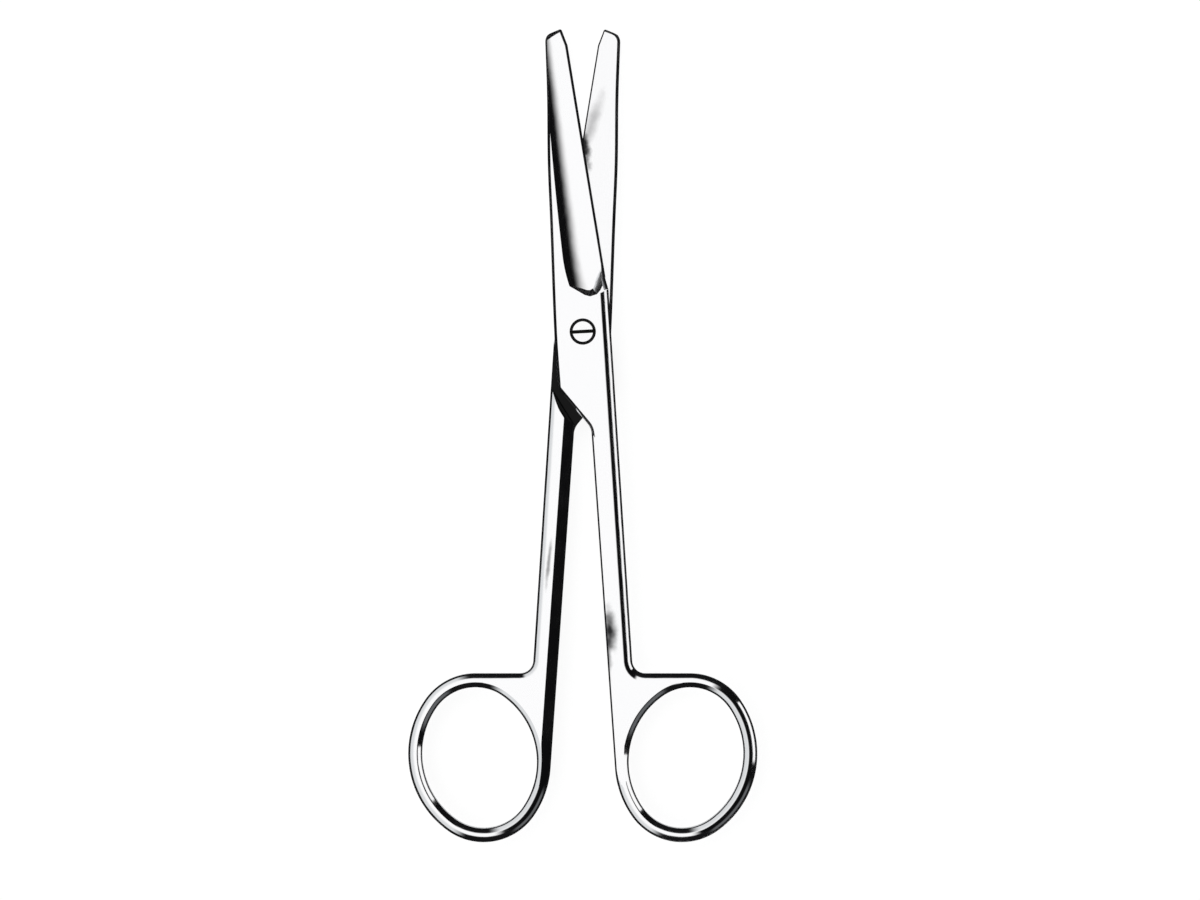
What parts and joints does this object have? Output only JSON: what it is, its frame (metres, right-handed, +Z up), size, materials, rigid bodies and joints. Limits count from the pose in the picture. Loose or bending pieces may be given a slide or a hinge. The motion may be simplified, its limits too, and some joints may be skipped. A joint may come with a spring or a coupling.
{
  "type": "surgical scissors",
  "caption": "Straight operating scissors with blunt tips, hollow-ground blades, a screwed lap joint and oval finger rings, lying slightly open.",
  "frame": {"origin": "on the pivot axis, in the plane of the joint's underside that the scissors lie on", "axes": "+Y from the finger rings towards the blade tips, midway between the halves; +Z up through the stack of both halves, along the pivot axis; +X to the side of the upper half's ring"},
  "size_m": [0.0618, 0.1442, 0.0044],
  "materials": {
    "half_steel": "fine satin polish",
    "screw_steel": "turned and polished"
  },
  "bodies": {
    "lower": {"lower_half": "half_steel", "pivot_screw": "screw_steel"},
    "upper": {"upper_half": "half_steel"}
  },
  "joints": [
    {"name": "blade_pivot", "type": "hinge", "parent": "lower", "child": "upper", "pos_m": [0, 0, 0.0022], "axis": [0, 0, 1], "range_deg": [-8, 110]}
  ]
}
